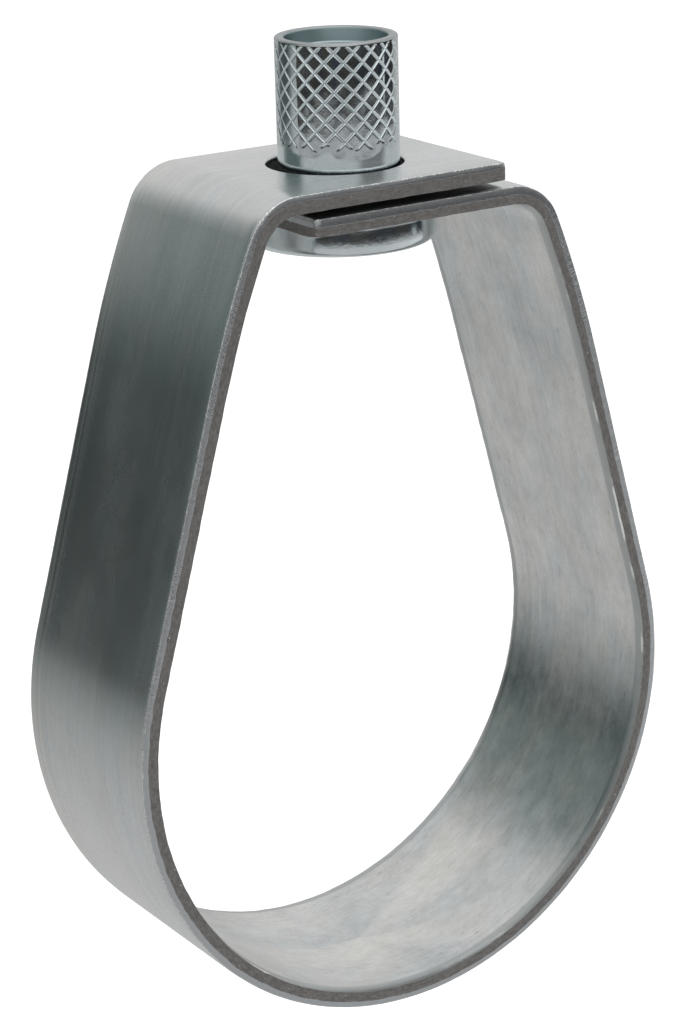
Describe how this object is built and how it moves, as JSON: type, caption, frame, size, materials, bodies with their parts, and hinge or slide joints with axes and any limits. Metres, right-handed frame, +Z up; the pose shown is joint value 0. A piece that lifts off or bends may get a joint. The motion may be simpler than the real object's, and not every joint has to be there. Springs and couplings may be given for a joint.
{
  "type": "swivel ring hanger",
  "caption": "Swivel ring hanger: folded galvanised strap for a horizontal pipe, turning on a knurled flanged nut for a threaded rod.",
  "frame": {"origin": "centre of the round pipe seat, at the middle of the strap's width", "axes": "+Z up along the threaded rod, +Y along the pipe, +X towards the leg that carries the tail plate"},
  "size_m": [0.08, 0.0292, 0.1257],
  "materials": {
    "galvanised_strap": "galvanised, satin",
    "zinc_nut": "bright zinc plated, knurled"
  },
  "bodies": {
    "nut": {"swivel_nut": "zinc_nut"},
    "strap": {"ring_strap": "galvanised_strap"}
  },
  "joints": [
    {"name": "swivel", "type": "hinge", "parent": "nut", "child": "strap", "pos_m": [0, 0, 0.0645], "axis": [0, 0, 1], "continuous": true}
  ]
}
